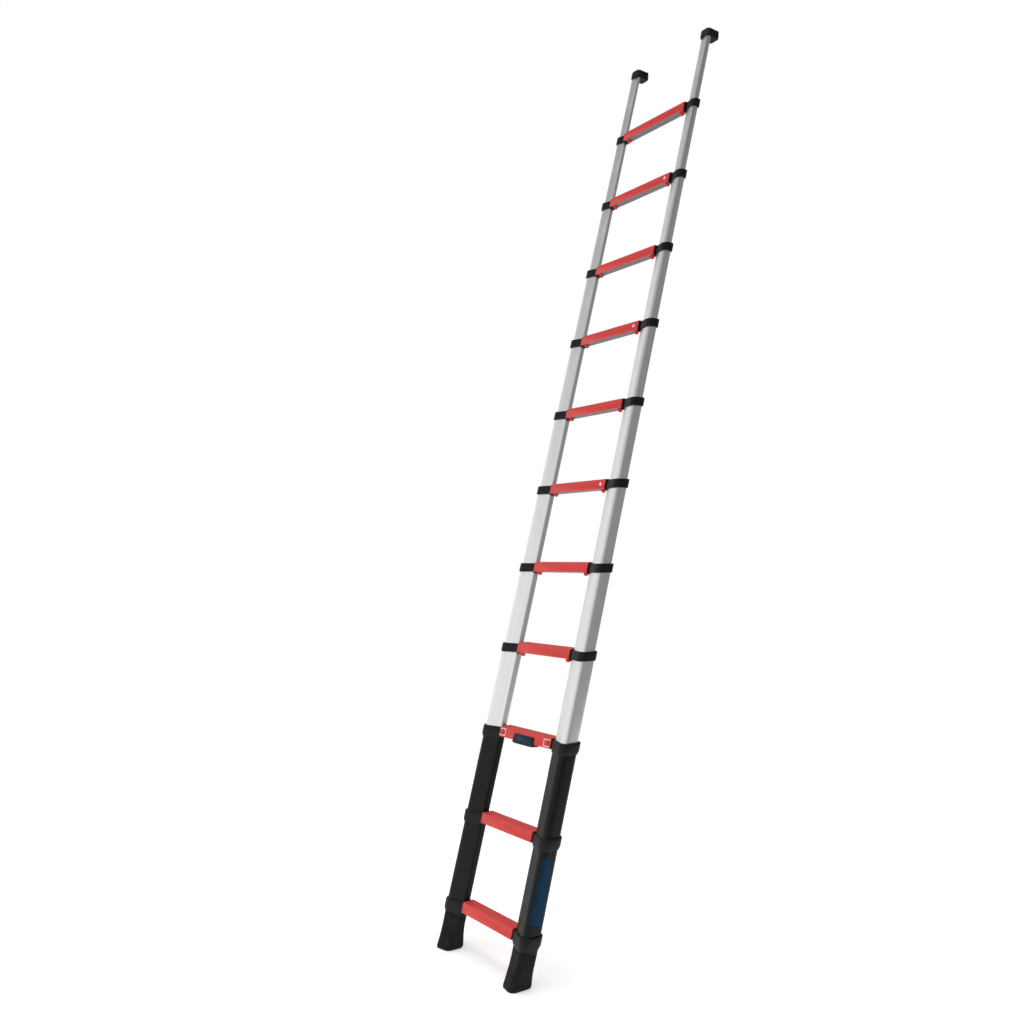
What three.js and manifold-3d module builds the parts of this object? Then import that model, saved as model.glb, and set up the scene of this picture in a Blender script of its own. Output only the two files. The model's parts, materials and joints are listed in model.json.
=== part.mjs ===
// A telescoping ladder, extended and leaning at its working angle.
// Units are millimetres, +Z is up, +Y points to the wall and X runs along the rungs.
// The ladder is built upright in its own group, with the stiles along Z, and then tipped back.

import * as THREE from "three";
import { mergeVertices } from "three/addons/utils/BufferGeometryUtils.js";
import Module from "manifold-3d";

const wasm = await Module();
wasm.setup();

// Overall layout
const LEAN = THREE.MathUtils.degToRad(15); // from the vertical
const PITCH = 300; // from one rung to the next, along the stiles
const RUNGS = 11;
const FIXED_RUNGS = 3; // rungs carried by the black outer stiles
const STILE_X = 193; // centre line of a stile, from the middle of the ladder
const GAP = 0.3; // between pieces that touch

// Stile tubes: section 0 is the outer stile, section 9 the innermost top tube.
// A tube is a trapezoid with well rounded corners, its wide side away from the rungs.
const TOP_SECTION = 9;
const OUTER_TUBE = { width: 85, wide: 80, narrow: 24, wideRadius: 20, narrowRadius: 9 };
const TUBE_STEP = { width: 5.2, wide: 5.55, narrow: 1.4, wideRadius: 1.1, narrowRadius: 0.47 };
const WALL = 1;
const OVERLAP = 58; // how far a tube still reaches below the collar that it slides in
const CORNER_STEPS = 3;

// Rungs: an upright front, a tread that is level when the ladder leans, and a raked back
const RUNG_FRONT = -20;
const RUNG_BACK = 22;
const RUNG_FOOT = 11.5; // back edge of the underside
const RUNG_BOTTOM = -17.5;
const RUNG_TOP = 17.5; // front edge of the tread
const TREAD_RISE = 12.5; // from the front of the tread to its back
const UNDERSIDE_RISE = 4.5;
const RUNG_RADIUS = 2.5;
const RUNG_WALL = 2;
const GROOVES = 4;
const GROOVE_WIDTH = 2.4;
const GROOVE_DEPTH = 0.8;

// Collars at the rung ends: level when the ladder leans, with heights on the tube's centre line
const COLLAR_GROW = 5; // how far a collar stands proud of its tube
const COLLAR_TOP = 19;
const COLLAR_BOTTOM = -13;
const COLLAR_CHAMFER = 2.2;
const FIXED_COLLAR_GROW = 6;
const FIXED_COLLAR_BOTTOM = -20;
const FIXED_COLLAR_LIP = 9; // height of the taper under a fixed collar
const TONGUE = 10; // how far a collar plugs into the end of its rung
const STILE_TOP = FIXED_RUNGS * PITCH + 4; // below the lip of the uppermost fixed collar

// Feet
const FOOT_JOINT = 266; // where the boot meets the outer stile
const SPIGOT = 45; // part of the boot that plugs into the stile
const SOLE = 158; // height of the sole on the stile's centre line
const SOLE_SHAPE = { half: 36, front: 46, back: 45, innerFront: 32, innerBack: 34, radius: 22 };

// End caps
const CAP_TOP = 3632; // on the tube's centre line
const CAP_HEIGHT = 37;
const CAP_ROOF = 8; // plastic over the tube end
const CAP_HALF_WIDTH = 22;
const CAP_FRONT = -18;
const CAP_BACK = 51; // lower back edge, before the wall face is cut
const CAP_WALL_CUT = 1;
const CAP_RADIUS = 14;

// Release tabs under the moving rungs
const TAB_INSET = 20; // from the end of the rung to the tab's middle
const TAB_WIDTH = 18;
const TAB_DROP = 10.5;
const TAB_TIP = 8; // length of the flat under a tab
const TAB_FRONT = 11; // behind the front edge of the underside
const TAB_BACK = 22;
const TAB_TRAVEL = 6;
const NECK = { x: 8, y: 6 };
const HEAD = { x: 13, y: 9, z: 2.5 };

// Thumb buttons and carrying handle on the top fixed rung
const BUTTON_INSET = 17;
const BUTTON = { x: 17, z: 15, proud: 3 };
const BUTTON_RAIL = { inset: 1, x: 34, z: 25, band: 3, proud: 1.6 };
const HANDLE = { plateHalfWidth: 57, plateTop: 5.5, plate: 4, gripHalfWidth: 63, depth: 31, drop: 9 };

const PLASTIC = { color: 0x222426, roughness: 0.55, metalness: 0 };
const BLACK_PAINT = { color: 0x2b2d2f, roughness: 0.5, metalness: 0.2 };
const RED_PAINT = { color: 0xc8322f, roughness: 0.45, metalness: 0.1 };
const RED_PLASTIC = { color: 0xd5302d, roughness: 0.5, metalness: 0 };
const ALUMINIUM = { color: 0xd3d5d7, roughness: 0.38, metalness: 0.9 };
const RUBBER = { color: 0x1b1c1d, roughness: 0.8, metalness: 0 };

// ---- Outlines -------------------------------------------------------------------------------

// Moves every side of a counter-clockwise convex outline outwards by the same distance.
function offsetOutline(corners, distance) {
  const lines = corners.map((corner, i) => {
    const next = corners[(i + 1) % corners.length];
    const along = next.clone().sub(corner).normalize();
    const outwards = new THREE.Vector2(along.y, -along.x);
    return { point: corner.clone().addScaledVector(outwards, distance), along };
  });
  return lines.map((line, i) => {
    const before = lines[(i + lines.length - 1) % lines.length];
    const apart = line.point.clone().sub(before.point);
    const reach = apart.cross(line.along) / before.along.cross(line.along);
    return before.point.clone().addScaledVector(before.along, reach);
  });
}

// Rounds each corner of a counter-clockwise convex outline with its own radius.
function roundOutline(corners, radii, steps) {
  return corners.flatMap((corner, i) => {
    const toBefore = corners[(i + corners.length - 1) % corners.length].clone().sub(corner).normalize();
    const toNext = corners[(i + 1) % corners.length].clone().sub(corner).normalize();
    const half = Math.acos(toBefore.dot(toNext)) / 2;
    const centre = toBefore.clone().add(toNext).normalize();
    centre.multiplyScalar(radii[i] / Math.sin(half)).add(corner);
    const start = Math.atan2(toBefore.x, -toBefore.y); // square to the side before
    const turn = Math.PI - 2 * half;
    return Array.from({ length: steps + 1 }, (_, step) => {
      const angle = start + (turn * step) / steps;
      const spoke = new THREE.Vector2(Math.cos(angle), Math.sin(angle));
      return spoke.multiplyScalar(radii[i]).add(centre);
    });
  });
}

// Size of one stile section: every section is a little smaller than the one that it slides in.
function tubeSize(section) {
  const sizeOf = (key) => [key, OUTER_TUBE[key] - TUBE_STEP[key] * section];
  return Object.fromEntries(Object.keys(OUTER_TUBE).map(sizeOf));
}

// Cross-section of a right-hand stile tube, with +x away from the rungs.
function tubeOutline(section, grow) {
  const size = tubeSize(section);
  const corners = [
    new THREE.Vector2(size.width / 2, -size.wide / 2),
    new THREE.Vector2(size.width / 2, size.wide / 2),
    new THREE.Vector2(-size.width / 2, size.narrow / 2),
    new THREE.Vector2(-size.width / 2, -size.narrow / 2),
  ];
  const wide = size.wideRadius + grow;
  const narrow = size.narrowRadius + grow;
  return roundOutline(offsetOutline(corners, grow), [wide, wide, narrow, narrow], CORNER_STEPS);
}

// Cross-section of a rung in the plane of Y and Z, without its grooves.
function rungOutline(grow) {
  const corners = [
    new THREE.Vector2(RUNG_FRONT, RUNG_BOTTOM),
    new THREE.Vector2(RUNG_FOOT, RUNG_BOTTOM + UNDERSIDE_RISE),
    new THREE.Vector2(RUNG_BACK, RUNG_TOP + TREAD_RISE),
    new THREE.Vector2(RUNG_FRONT, RUNG_TOP),
  ];
  const radius = Math.max(RUNG_RADIUS + grow, RUNG_RADIUS / 2);
  return roundOutline(offsetOutline(corners, grow), corners.map(() => radius), 2);
}

// ---- Solids ---------------------------------------------------------------------------------

function solidOf(geometry) {
  const bare = new THREE.BufferGeometry();
  bare.setAttribute("position", geometry.getAttribute("position"));
  bare.setIndex(geometry.index);
  const merged = mergeVertices(bare, 1e-4);
  const vertProperties = merged.getAttribute("position").array;
  const triVerts = merged.index.array;
  return new wasm.Manifold(new wasm.Mesh({ numProp: 3, vertProperties, triVerts }));
}

function geometryOf(solid) {
  const mesh = solid.getMesh();
  const geometry = new THREE.BufferGeometry();
  geometry.setAttribute("position", new THREE.BufferAttribute(mesh.vertProperties, 3));
  geometry.setIndex(new THREE.BufferAttribute(mesh.triVerts, 1));
  return geometry;
}

// A prism standing on the plane z = bottom.
function upright(outline, bottom, top, holes = []) {
  const shape = new THREE.Shape(outline);
  shape.holes = holes.map((hole) => new THREE.Path(hole));
  const prism = new THREE.ExtrudeGeometry(shape, { depth: top - bottom, bevelEnabled: false });
  return prism.translate(0, 0, bottom);
}

// A prism along X from an outline in the plane of Y and Z.
function along(outline, start, end, holes = []) {
  const turn = new THREE.Matrix4().makeBasis(
    new THREE.Vector3(0, 1, 0),
    new THREE.Vector3(0, 0, 1),
    new THREE.Vector3(1, 0, 0),
  );
  return upright(outline, start, end, holes).applyMatrix4(turn);
}

// A prism along Y from an outline in the plane of X and Z.
function across(outline, start, end) {
  return upright(outline, -end, -start).rotateX(Math.PI / 2);
}

function block(min, max) {
  const size = new THREE.Vector3().subVectors(max, min);
  const middle = new THREE.Vector3().addVectors(min, max).multiplyScalar(0.5);
  return new THREE.BoxGeometry(size.x, size.y, size.z).translate(middle.x, middle.y, middle.z);
}

// A closed skin through rings of equally many points, from the lowest ring to the highest.
function loft(rings) {
  const count = rings[0].length;
  const faces = [];
  for (let ring = 0; ring < rings.length - 1; ring++) {
    for (let i = 0; i < count; i++) {
      const near = ring * count + i;
      const next = ring * count + ((i + 1) % count);
      faces.push(near, next, next + count, near, next + count, near + count);
    }
  }
  const flat = rings[0].map((point) => new THREE.Vector2(point.x, point.y));
  const last = (rings.length - 1) * count;
  for (const [a, b, c] of THREE.ShapeUtils.triangulateShape(flat, [])) {
    faces.push(c, b, a, last + a, last + b, last + c);
  }
  const geometry = new THREE.BufferGeometry().setFromPoints(rings.flat());
  return geometry.setIndex(faces);
}

// A ring for loft: an outline at a height, moved along Y and tilted about X.
function ringAt(outline, height, shift = 0, tilt = 0) {
  return outline.map(({ x, y }) => new THREE.Vector3(x, y + shift, height + (y + shift) * Math.tan(tilt)));
}

// The same piece for the other side of the ladder.
function mirrored(geometry) {
  const turned = geometry.clone().scale(-1, 1, 1);
  const faces = turned.index.array;
  for (let i = 0; i < faces.length; i += 3) {
    [faces[i + 1], faces[i + 2]] = [faces[i + 2], faces[i + 1]];
  }
  return turned;
}

// ---- Stile pieces, around the centre line of the right-hand stile, with a rung at z = 0 -------

function narrowSide(section) {
  return -tubeSize(section).width / 2;
}

// A band around the tube with a taper below, a small chamfer above and a tongue for the rung.
function collarBody(section, grow, bottom, lip) {
  const band = loft([
    ringAt(tubeOutline(section, grow - COLLAR_CHAMFER), bottom, 0, LEAN),
    ringAt(tubeOutline(section, grow), bottom + lip, 0, LEAN),
    ringAt(tubeOutline(section, grow), COLLAR_TOP - COLLAR_CHAMFER, 0, LEAN),
    ringAt(tubeOutline(section, grow - COLLAR_CHAMFER), COLLAR_TOP, 0, LEAN),
  ]);
  const end = narrowSide(section) - grow;
  const tongue = along(rungOutline(-RUNG_WALL - GAP), end - TONGUE, end + grow);
  return solidOf(band).add(solidOf(tongue));
}

// The uppermost fixed collar has a lip over the end of the outer stile, around the first moving tube.
function fixedCollar(rung) {
  const body = collarBody(0, FIXED_COLLAR_GROW, FIXED_COLLAR_BOTTOM, FIXED_COLLAR_LIP);
  const seat = rung === FIXED_RUNGS ? STILE_TOP - rung * PITCH + GAP : PITCH;
  const bore = upright(tubeOutline(0, GAP), -PITCH, seat);
  const mouth = upright(tubeOutline(1, GAP), -PITCH, PITCH);
  return geometryOf(body.subtract(solidOf(bore)).subtract(solidOf(mouth)));
}

function outerStile() {
  return upright(tubeOutline(0, 0), FOOT_JOINT + GAP, STILE_TOP, [tubeOutline(0, -WALL)]);
}

// A moving tube with the collar moulded onto its upper end.
function collaredTube(section) {
  const bottom = -PITCH - OVERLAP;
  const tube = solidOf(upright(tubeOutline(section, 0), bottom, 0));
  const body = collarBody(section, COLLAR_GROW, COLLAR_BOTTOM, COLLAR_CHAMFER);
  const bore = solidOf(upright(tubeOutline(section, -WALL), bottom - GAP, PITCH));
  return geometryOf(tube.add(body).subtract(bore));
}

function topTube() {
  const bottom = RUNGS * PITCH - OVERLAP;
  const top = CAP_TOP - CAP_ROOF - GAP;
  return upright(tubeOutline(TOP_SECTION, 0), bottom, top, [tubeOutline(TOP_SECTION, -WALL)]);
}

// Rounded block, level when the ladder leans, that reaches back to the wall and is cut upright there.
function endCap() {
  const corners = [
    new THREE.Vector2(CAP_HALF_WIDTH, CAP_FRONT),
    new THREE.Vector2(CAP_HALF_WIDTH, CAP_BACK),
    new THREE.Vector2(-CAP_HALF_WIDTH, CAP_BACK),
    new THREE.Vector2(-CAP_HALF_WIDTH, CAP_FRONT),
  ];
  const bottom = CAP_TOP - CAP_HEIGHT;
  const levels = [
    [bottom, -2.2],
    [bottom + 1.2, -0.9],
    [bottom + 4, 0],
    [CAP_TOP - 8, 0],
    [CAP_TOP - 3, -2.2],
    [CAP_TOP, -7],
  ];
  const outlineAt = (grow) =>
    roundOutline(offsetOutline(corners, grow), corners.map(() => CAP_RADIUS + grow), CORNER_STEPS);
  const rings = levels.map(([height, grow]) => ringAt(outlineAt(grow), height, 0, LEAN));
  const body = solidOf(loft(rings));
  const bore = solidOf(upright(tubeOutline(TOP_SECTION, GAP), bottom - CAP_HEIGHT, CAP_TOP - CAP_ROOF));
  const wall = new THREE.BoxGeometry(4 * CAP_HALF_WIDTH, CAP_BACK, 4 * CAP_HEIGHT);
  wall.translate(0, CAP_BACK / 2, 0).rotateX(LEAN).translate(0, CAP_BACK - CAP_WALL_CUT, bottom);
  return geometryOf(body.subtract(bore).subtract(solidOf(wall)));
}

// Outline between the stile's (blend 0) and the sole's (blend 1).
function bootOutline(blend, grow) {
  const size = tubeSize(0);
  const stile = [
    [size.width / 2, -size.wide / 2, size.wideRadius],
    [size.width / 2, size.wide / 2, size.wideRadius],
    [-size.width / 2, size.narrow / 2, size.narrowRadius],
    [-size.width / 2, -size.narrow / 2, size.narrowRadius],
  ];
  const { half, front, back, innerFront, innerBack, radius } = SOLE_SHAPE;
  const sole = [
    [half, -front, radius],
    [half, back, radius],
    [-half, innerBack, radius],
    [-half, -innerFront, radius],
  ];
  const mixed = stile.map((corner, i) =>
    corner.map((value, j) => THREE.MathUtils.lerp(value, sole[i][j], blend)),
  );
  const corners = mixed.map(([x, y]) => new THREE.Vector2(x, y));
  const radii = mixed.map((corner) => corner[2] + grow);
  return roundOutline(offsetOutline(corners, grow), radii, CORNER_STEPS);
}

// Rubber boot: plugs into the outer stile, narrows a little and spreads to a level sole.
function foot() {
  const levels = [
    { height: SOLE, blend: 1, grow: -4, tilt: 1 },
    { height: SOLE + 3, blend: 1, grow: -1, tilt: 1 },
    { height: SOLE + 8, blend: 1, grow: 0, tilt: 1 },
    { height: SOLE + 26, blend: 0.85, grow: -1.5, tilt: 0.8 },
    { height: SOLE + 50, blend: 0.5, grow: -2, tilt: 0.4 },
    { height: SOLE + 80, blend: 0.15, grow: -1, tilt: 0.1 },
    { height: FOOT_JOINT, blend: 0, grow: 0, tilt: 0 },
  ];
  const rings = levels.map(({ height, blend, grow, tilt }) =>
    ringAt(bootOutline(blend, grow), height, 0, LEAN * tilt),
  );
  const spigot = solidOf(upright(tubeOutline(0, -WALL - GAP), FOOT_JOINT - 1, FOOT_JOINT + SPIGOT));
  return geometryOf(solidOf(loft(rings)).add(spigot));
}

// ---- Rungs and what they carry ----------------------------------------------------------------

// The rung's outline with anti-slip grooves cut along the tread.
function groovedOutline() {
  const outline = rungOutline(0);
  const front = new THREE.Vector2(RUNG_FRONT, RUNG_TOP);
  const tread = new THREE.Vector2(RUNG_BACK - RUNG_FRONT, TREAD_RISE);
  const length = tread.length();
  const slope = tread.normalize();
  const down = new THREE.Vector2(slope.y, -slope.x);
  const treadStart = outline.length - 3; // the front top corner is the outline's last one
  const grooves = [];
  for (let i = GROOVES; i >= 1; i--) {
    const middle = (length * i) / (GROOVES + 1);
    for (const [offset, depth] of [[0.5, 0], [0.3, 1], [-0.3, 1], [-0.5, 0]]) {
      const point = front.clone().addScaledVector(slope, middle + offset * GROOVE_WIDTH);
      grooves.push(point.addScaledVector(down, depth * GROOVE_DEPTH));
    }
  }
  return [...outline.slice(0, treadStart), ...grooves, ...outline.slice(treadStart)];
}

function rungHalfLength(section) {
  const grow = section > 0 ? COLLAR_GROW : FIXED_COLLAR_GROW;
  return STILE_X + narrowSide(section) - grow - GAP;
}

function plainRung(section) {
  const half = rungHalfLength(section);
  return along(groovedOutline(), -half, half, [rungOutline(-RUNG_WALL)]);
}

// Middle of a right-hand release tab, measured along the rung.
function tabCentre(section) {
  return rungHalfLength(section) - TAB_INSET;
}

// Cutter for a slot that lets a neck of this length move inwards.
function slot(centre, neckLength, min, max) {
  const start = centre - neckLength / 2 - TAB_TRAVEL - GAP;
  const end = centre + neckLength / 2 + GAP;
  return block(new THREE.Vector3(start, min.y, min.z), new THREE.Vector3(end, max.y, max.z));
}

// Moves a piece modelled on the plane z = 0, behind y = 0, to the sloping underside of the rung.
function ontoUnderside(geometry) {
  const slope = Math.atan2(UNDERSIDE_RISE, RUNG_FOOT - RUNG_FRONT);
  return geometry.rotateX(slope).translate(0, RUNG_FRONT, RUNG_BOTTOM);
}

function movingRung(section) {
  const middle = (TAB_FRONT + TAB_BACK) / 2;
  const halfSlot = NECK.y / 2 + GAP;
  const min = new THREE.Vector3(0, middle - halfSlot, -1);
  const max = new THREE.Vector3(0, middle + halfSlot, RUNG_WALL + 1);
  const cut = ontoUnderside(slot(tabCentre(section), NECK.x, min, max));
  const body = solidOf(plainRung(section));
  return geometryOf(body.subtract(solidOf(cut)).subtract(solidOf(mirrored(cut))));
}

// A thumb-sized wedge under the rung, held by a head inside it.
function releaseTab(section) {
  const centre = tabCentre(section);
  const top = -GAP;
  const half = TAB_WIDTH / 2;
  const corners = [
    new THREE.Vector2(centre - TAB_TIP / 2, top - TAB_DROP),
    new THREE.Vector2(centre + TAB_TIP / 2, top - TAB_DROP),
    new THREE.Vector2(centre + half, top),
    new THREE.Vector2(centre - half, top),
  ];
  const wedge = across(roundOutline(corners, [3, 3, 1, 1], 2), TAB_FRONT, TAB_BACK);
  const middle = (TAB_FRONT + TAB_BACK) / 2;
  const headBottom = RUNG_WALL + GAP;
  const box = (size, bottom, height) =>
    block(
      new THREE.Vector3(centre - size.x / 2, middle - size.y / 2, bottom),
      new THREE.Vector3(centre + size.x / 2, middle + size.y / 2, bottom + height),
    );
  const neck = box(NECK, top - 1, headBottom - top + 2);
  const head = box(HEAD, headBottom, HEAD.z);
  return ontoUnderside(geometryOf(solidOf(wedge).add(solidOf(neck)).add(solidOf(head))));
}

// Top fixed rung: a slot and a raised three-sided rail around it for each thumb button.
function buttonRung() {
  const centre = rungHalfLength(0) - BUTTON_INSET;
  const halfSlot = NECK.y / 2 + GAP;
  const min = new THREE.Vector3(0, RUNG_FRONT - 5, -halfSlot);
  const max = new THREE.Vector3(0, RUNG_FRONT + RUNG_WALL + 1, halfSlot);
  const cut = slot(centre, NECK.x, min, max);
  const outer = rungHalfLength(0) - BUTTON_RAIL.inset;
  const inner = outer - BUTTON_RAIL.x;
  const top = BUTTON_RAIL.z / 2;
  const band = BUTTON_RAIL.band;
  const rail = across(
    [
      new THREE.Vector2(outer, -top),
      new THREE.Vector2(outer, -top + band),
      new THREE.Vector2(inner + band, -top + band),
      new THREE.Vector2(inner + band, top - band),
      new THREE.Vector2(outer, top - band),
      new THREE.Vector2(outer, top),
      new THREE.Vector2(inner, top),
      new THREE.Vector2(inner, -top),
    ],
    RUNG_FRONT - BUTTON_RAIL.proud,
    RUNG_FRONT + 1,
  );
  let body = solidOf(plainRung(0)).add(solidOf(rail)).add(solidOf(mirrored(mergeVertices(rail))));
  body = body.subtract(solidOf(cut)).subtract(solidOf(mirrored(cut)));
  return geometryOf(body);
}

function releaseButton() {
  const centre = rungHalfLength(0) - BUTTON_INSET;
  const face = RUNG_FRONT - GAP;
  const box = (x, z, start, end) =>
    block(new THREE.Vector3(centre - x / 2, start, -z / 2), new THREE.Vector3(centre + x / 2, end, z / 2));
  const pad = box(BUTTON.x, BUTTON.z, face - BUTTON.proud, face);
  const inside = RUNG_FRONT + RUNG_WALL + GAP;
  const neck = box(NECK.x, NECK.y, face - 1, inside + 1);
  const head = box(HEAD.x, HEAD.y, inside, inside + HEAD.z);
  return geometryOf(solidOf(pad).add(solidOf(neck)).add(solidOf(head)));
}

// Outline in X and Z of a bar that is narrower at one end, with rounded corners there.
function taperedBar(bottom, bottomHalf, top, topHalf, radii) {
  const corners = [
    new THREE.Vector2(-bottomHalf, bottom),
    new THREE.Vector2(bottomHalf, bottom),
    new THREE.Vector2(topHalf, top),
    new THREE.Vector2(-topHalf, top),
  ];
  return roundOutline(corners, radii, CORNER_STEPS);
}

// Carrying handle: a plate on the front of the rung and a boat-shaped grip below it.
function carryHandle() {
  const { plateHalfWidth, plateTop, plate, gripHalfWidth, depth, drop } = HANDLE;
  const grip = taperedBar(-GAP - drop, gripHalfWidth * 0.8, -GAP, gripHalfWidth, [14, 14, 1, 1]);
  const cover = taperedBar(RUNG_BOTTOM - 2, plateHalfWidth, plateTop, plateHalfWidth, [1, 1, 4, 4]);
  const under = solidOf(ontoUnderside(across(grip, -plate, depth - plate)));
  const front = solidOf(across(cover, RUNG_FRONT - plate, RUNG_FRONT - GAP));
  return geometryOf(under.add(front));
}

// ---- Assembly ---------------------------------------------------------------------------------

const uprightLadder = new THREE.Group();

function addPiece(name, geometry, look, x, z) {
  const mesh = new THREE.Mesh(geometry, new THREE.MeshStandardMaterial(look));
  mesh.name = name;
  mesh.position.set(x, 0, z);
  uprightLadder.add(mesh);
}

// Adds a piece of the right-hand stile and its mirror image on the left.
function addPair(name, geometry, look, z, x = STILE_X) {
  const indexed = geometry.index ? geometry : mergeVertices(geometry);
  addPiece(name + "_right", indexed, look, x, z);
  addPiece(name + "_left", mirrored(indexed), look, -x, z);
}

addPair("foot", foot(), RUBBER, 0);
addPair("outer_stile", outerStile(), BLACK_PAINT, 0);
for (let rung = 1; rung <= FIXED_RUNGS; rung++) {
  addPair("collar_" + rung, fixedCollar(rung), PLASTIC, rung * PITCH);
  const body = rung === FIXED_RUNGS ? buttonRung() : plainRung(0);
  addPiece("rung_" + rung, body, RED_PAINT, 0, rung * PITCH);
}
addPair("release_button", releaseButton(), RED_PLASTIC, FIXED_RUNGS * PITCH, 0);
addPiece("carry_handle", carryHandle(), PLASTIC, 0, FIXED_RUNGS * PITCH);

for (let rung = FIXED_RUNGS + 1; rung <= RUNGS; rung++) {
  const section = rung - FIXED_RUNGS;
  addPair("tube_" + rung, collaredTube(section), ALUMINIUM, rung * PITCH);
  addPiece("rung_" + rung, movingRung(section), RED_PAINT, 0, rung * PITCH);
  addPair("release_tab_" + rung, releaseTab(section), RED_PLASTIC, rung * PITCH, 0);
}
addPair("top_tube", topTube(), ALUMINIUM, 0);
addPair("end_cap", endCap(), PLASTIC, 0);

// Tip the ladder back and stand it on its soles, with the origin below the middle of its bounding box.
const ladder = new THREE.Group();
ladder.add(uprightLadder);
uprightLadder.rotation.x = -LEAN;
ladder.updateMatrixWorld(true);
const bounds = new THREE.Box3().setFromObject(ladder, true);
uprightLadder.position.set(0, -(bounds.min.y + bounds.max.y) / 2, -bounds.min.z);

export default ladder;
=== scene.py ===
import json
import math

import bmesh
import bpy
from mathutils import Matrix, Vector


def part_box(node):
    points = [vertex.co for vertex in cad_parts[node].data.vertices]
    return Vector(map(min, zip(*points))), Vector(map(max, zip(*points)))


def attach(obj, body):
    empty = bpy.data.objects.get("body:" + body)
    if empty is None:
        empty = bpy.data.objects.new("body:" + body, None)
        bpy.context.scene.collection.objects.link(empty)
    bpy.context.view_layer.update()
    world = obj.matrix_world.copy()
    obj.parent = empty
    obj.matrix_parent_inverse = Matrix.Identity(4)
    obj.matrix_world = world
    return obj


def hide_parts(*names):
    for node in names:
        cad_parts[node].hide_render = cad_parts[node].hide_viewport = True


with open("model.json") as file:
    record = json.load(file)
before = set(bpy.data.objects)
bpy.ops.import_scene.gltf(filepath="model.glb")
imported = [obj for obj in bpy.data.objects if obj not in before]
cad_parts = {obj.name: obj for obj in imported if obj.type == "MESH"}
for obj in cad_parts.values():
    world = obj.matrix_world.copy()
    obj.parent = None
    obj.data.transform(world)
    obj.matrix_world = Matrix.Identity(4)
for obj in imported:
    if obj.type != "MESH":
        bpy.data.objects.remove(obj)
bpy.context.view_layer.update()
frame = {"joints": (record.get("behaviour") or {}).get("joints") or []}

# A telescoping ladder that leans at its working angle. Every piece is drawn in millimetres in the
# ladder's own frame, with the stiles along Z and rung N at N pitches up, and put in place by `place`.

# ---- Layout, as the CAD has it ------------------------------------------------------------------

PITCH = 300
RUNGS = 11
FIXED_RUNGS = 3
STILE_X = 193
SIDES = {"left": -1, "right": 1}
TOP_SECTION = RUNGS - FIXED_RUNGS + 1
OUTER_TUBE = {"width": 85, "wide": 80, "narrow": 24, "wide_radius": 20, "narrow_radius": 9}
TUBE_STEP = {"width": 5.2, "wide": 5.55, "narrow": 1.4, "wide_radius": 1.1, "narrow_radius": 0.47}
WALL = 1
OVERLAP = 58
SHADOW_GAP = 0.3  # between neighbouring pieces
CORNER_STEPS = 12

RUNG_FRONT, RUNG_BACK = -20, 22
RUNG_FOOT = 11.5
RUNG_BOTTOM, RUNG_TOP = -17.5, 17.5
TREAD_RISE, UNDERSIDE_RISE = 12.5, 4.5
RUNG_RADIUS = 2.5
RUNG_CORNER_STEPS = 5
RUNG_WALL = 2
GROOVES = 7
GROOVE_WIDTH, GROOVE_DEPTH = 1.8, 0.7

COLLAR_GROW = 5
COLLAR_TOP = 19
COLLAR_BOTTOM = -13
FIXED_COLLAR_GROW = 6
FIXED_COLLAR_BOTTOM = -20
STILE_TOP = FIXED_RUNGS * PITCH + 4

FOOT_JOINT = 266
SOLE = 158
CAP_TOP = 3632
CAP_HEIGHT = 37

HANDLE_Z = FIXED_RUNGS * PITCH


def lean_angle():
    """Angle between the stiles and the vertical, from the direction in which the sections slide."""
    slide = next(joint for joint in frame["joints"] if joint["name"] == "slide_4")
    return math.atan2(slide["axis"][1], slide["axis"][2])


LEAN = lean_angle()


# ---- Outlines -----------------------------------------------------------------------------------

def offset_outline(corners, distance):
    """Moves every side of a counter-clockwise convex outline outwards."""
    lines = []
    for corner, following in zip(corners, corners[1:] + corners[:1]):
        along = (Vector(following) - Vector(corner)).normalized()
        outwards = Vector((along.y, -along.x))
        lines.append((Vector(corner) + outwards * distance, along))
    moved = []
    for (before, along_before), (point, along) in zip(lines[-1:] + lines[:-1], lines):
        apart = point - before
        reach = apart.cross(along) / along_before.cross(along)
        moved.append(before + along_before * reach)
    return moved


def round_outline(corners, radii, steps=CORNER_STEPS):
    """Rounds each corner of a counter-clockwise convex outline with its own radius."""
    points = []
    for i, corner in enumerate(corners):
        corner = Vector(corner)
        to_before = (Vector(corners[i - 1]) - corner).normalized()
        to_next = (Vector(corners[(i + 1) % len(corners)]) - corner).normalized()
        half = math.acos(to_before.dot(to_next)) / 2
        centre = corner + (to_before + to_next).normalized() * (radii[i] / math.sin(half))
        start = math.atan2(to_before.x, -to_before.y)
        turn = math.pi - 2 * half
        for step in range(steps + 1):
            angle = start + turn * step / steps
            points.append(centre + Vector((math.cos(angle), math.sin(angle))) * radii[i])
    return points


def tube_size(section):
    """Size of one stile section: each is a little smaller than the one that it slides in."""
    return {key: OUTER_TUBE[key] - TUBE_STEP[key] * section for key in OUTER_TUBE}


def tube_corners(section):
    size = tube_size(section)
    half, wide, narrow = size["width"] / 2, size["wide"] / 2, size["narrow"] / 2
    return [(half, -wide), (half, wide), (-half, narrow), (-half, -narrow)]


def tube_outline(section, grow):
    """Cross-section of a right-hand stile tube, with +x away from the rungs."""
    size = tube_size(section)
    radii = [size["wide_radius"] + grow] * 2 + [size["narrow_radius"] + grow] * 2
    return round_outline(offset_outline(tube_corners(section), grow), radii)


def rung_corners():
    return [
        (RUNG_FRONT, RUNG_BOTTOM),
        (RUNG_FOOT, RUNG_BOTTOM + UNDERSIDE_RISE),
        (RUNG_BACK, RUNG_TOP + TREAD_RISE),
        (RUNG_FRONT, RUNG_TOP),
    ]


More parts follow.
